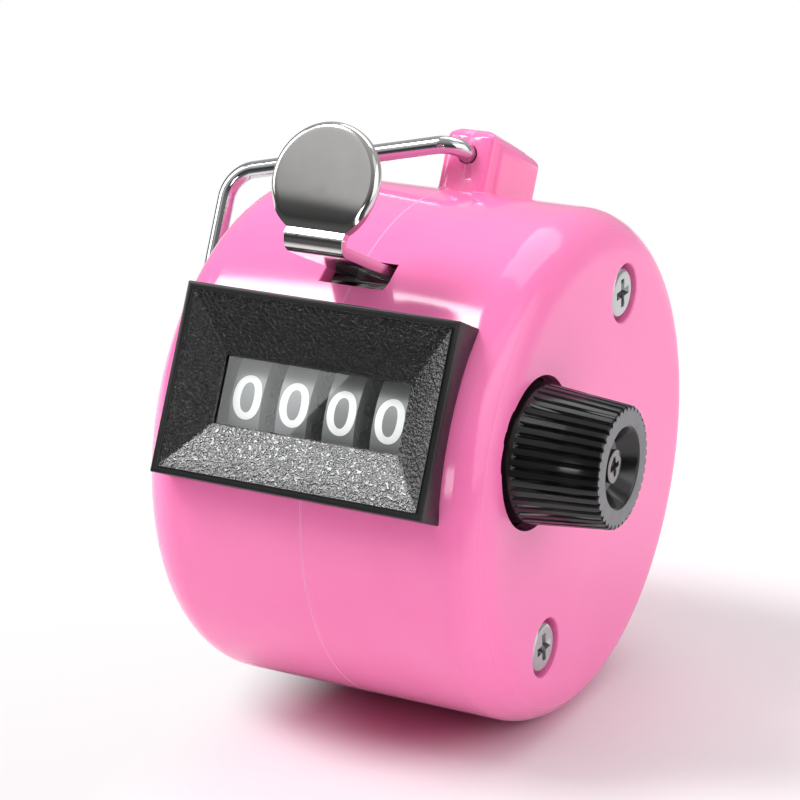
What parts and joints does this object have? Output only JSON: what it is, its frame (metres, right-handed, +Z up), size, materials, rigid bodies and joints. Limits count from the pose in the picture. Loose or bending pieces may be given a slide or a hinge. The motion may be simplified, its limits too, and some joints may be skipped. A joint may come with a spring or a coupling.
{
  "type": "hand tally counter",
  "caption": "Round hand tally counter: drum case of two shells, framed digit window, spring thumb lever, fluted reset knob on the side and a wire finger ring on a top lug.",
  "frame": {"origin": "middle of the flat foot under the drum, on the mid plane between the shells", "axes": "+X along the drum axis towards the reset knob, -Y towards the display side, +Z up with the counter standing on its foot"},
  "size_m": [0.0467, 0.0479, 0.0544],
  "materials": {
    "shell": "glossy pink plastic",
    "zinc": "bright zinc",
    "bezel": "grained black plastic",
    "clear": "clear plastic",
    "steel": "plain steel",
    "spring": "spring steel",
    "lever": "polished nickel",
    "gear": "off-white nylon",
    "wheel": "satin black plastic",
    "knob": "black plastic",
    "dark_screw": "dark steel",
    "chrome": "chrome"
  },
  "bodies": {
    "case": {"left_shell": "shell", "right_shell": "shell", "case_screw_upper": "zinc", "case_screw_lower": "zinc", "bezel": "bezel", "window_lens": "clear", "left_plate": "steel", "right_plate": "steel", "spacer_back": "steel", "spacer_low": "steel", "pinion_shaft": "steel", "lever_pin": "steel", "detent_spring": "spring", "return_spring": "spring"},
    "lever": {"thumb_lever": "lever"},
    "pawl": {"drive_pawl": "steel"},
    "ratchet": {"ratchet_wheel": "gear"},
    "units": {"units_wheel": "wheel"},
    "tens": {"tens_wheel": "wheel"},
    "hundreds": {"hundreds_wheel": "wheel"},
    "thousands": {"thousands_wheel": "wheel"},
    "tens_transfer": {"tens_pinion": "gear"},
    "hundreds_transfer": {"hundreds_pinion": "gear"},
    "thousands_transfer": {"thousands_pinion": "gear"},
    "reset": {"wheel_shaft": "steel", "shaft_clip": "steel", "knob_washer": "steel", "reset_knob": "knob", "knob_screw": "dark_screw"},
    "ring": {"finger_ring": "chrome"}
  },
  "joints": [
    {"name": "lever_press", "type": "hinge", "parent": "case", "child": "lever", "pos_m": [0, -0.00778, 0.03926], "axis": [1, 0, 0], "range_deg": [0, 10], "stiffness_Nm_per_rad": 0.05, "springref_deg": -5.73, "deforming": ["return_spring"]},
    {"name": "pawl_lift", "type": "hinge", "parent": "lever", "child": "pawl", "pos_m": [0, -0.00937, 0.03455], "axis": [1, 0, 0], "range_deg": [-10, 0], "stiffness_Nm_per_rad": 0.0005, "springref_deg": 8.59},
    {"name": "ratchet_step", "type": "hinge", "parent": "case", "child": "ratchet", "pos_m": [0, -0.01174, 0.02749], "axis": [1, 0, 0], "range_deg": [-36, 0]},
    {"name": "units_turn", "type": "hinge", "parent": "ratchet", "child": "units", "pos_m": [0, -0.01174, 0.02749], "axis": [1, 0, 0], "continuous": true},
    {"name": "tens_turn", "type": "hinge", "parent": "case", "child": "tens", "pos_m": [0, -0.01174, 0.02749], "axis": [1, 0, 0], "continuous": true},
    {"name": "hundreds_turn", "type": "hinge", "parent": "case", "child": "hundreds", "pos_m": [0, -0.01174, 0.02749], "axis": [1, 0, 0], "continuous": true},
    {"name": "thousands_turn", "type": "hinge", "parent": "case", "child": "thousands", "pos_m": [0, -0.01174, 0.02749], "axis": [1, 0, 0], "continuous": true},
    {"name": "tens_transfer_turn", "type": "hinge", "parent": "case", "child": "tens_transfer", "pos_m": [0, -0.01078, 0.01754], "axis": [1, 0, 0], "continuous": true},
    {"name": "hundreds_transfer_turn", "type": "hinge", "parent": "case", "child": "hundreds_transfer", "pos_m": [0, -0.01078, 0.01754], "axis": [1, 0, 0], "continuous": true},
    {"name": "thousands_transfer_turn", "type": "hinge", "parent": "case", "child": "thousands_transfer", "pos_m": [0, -0.01078, 0.01754], "axis": [1, 0, 0], "continuous": true},
    {"name": "reset_turn", "type": "hinge", "parent": "case", "child": "reset", "pos_m": [0, -0.01174, 0.02749], "axis": [1, 0, 0], "continuous": true},
    {"name": "ring_swing", "type": "hinge", "parent": "case", "child": "ring", "pos_m": [0, 0.00602, 0.04813], "axis": [0, 0.7644, -0.6448], "range_deg": [0, 140]}
  ],
  "couplings": [
    {"joint": "ratchet_step", "follows": "lever_press", "ratio": -3.6},
    {"joint": "tens_transfer_turn", "follows": "tens_turn", "ratio": -2.5},
    {"joint": "hundreds_transfer_turn", "follows": "hundreds_turn", "ratio": -2.5},
    {"joint": "thousands_transfer_turn", "follows": "thousands_turn", "ratio": -2.5}
  ]
}
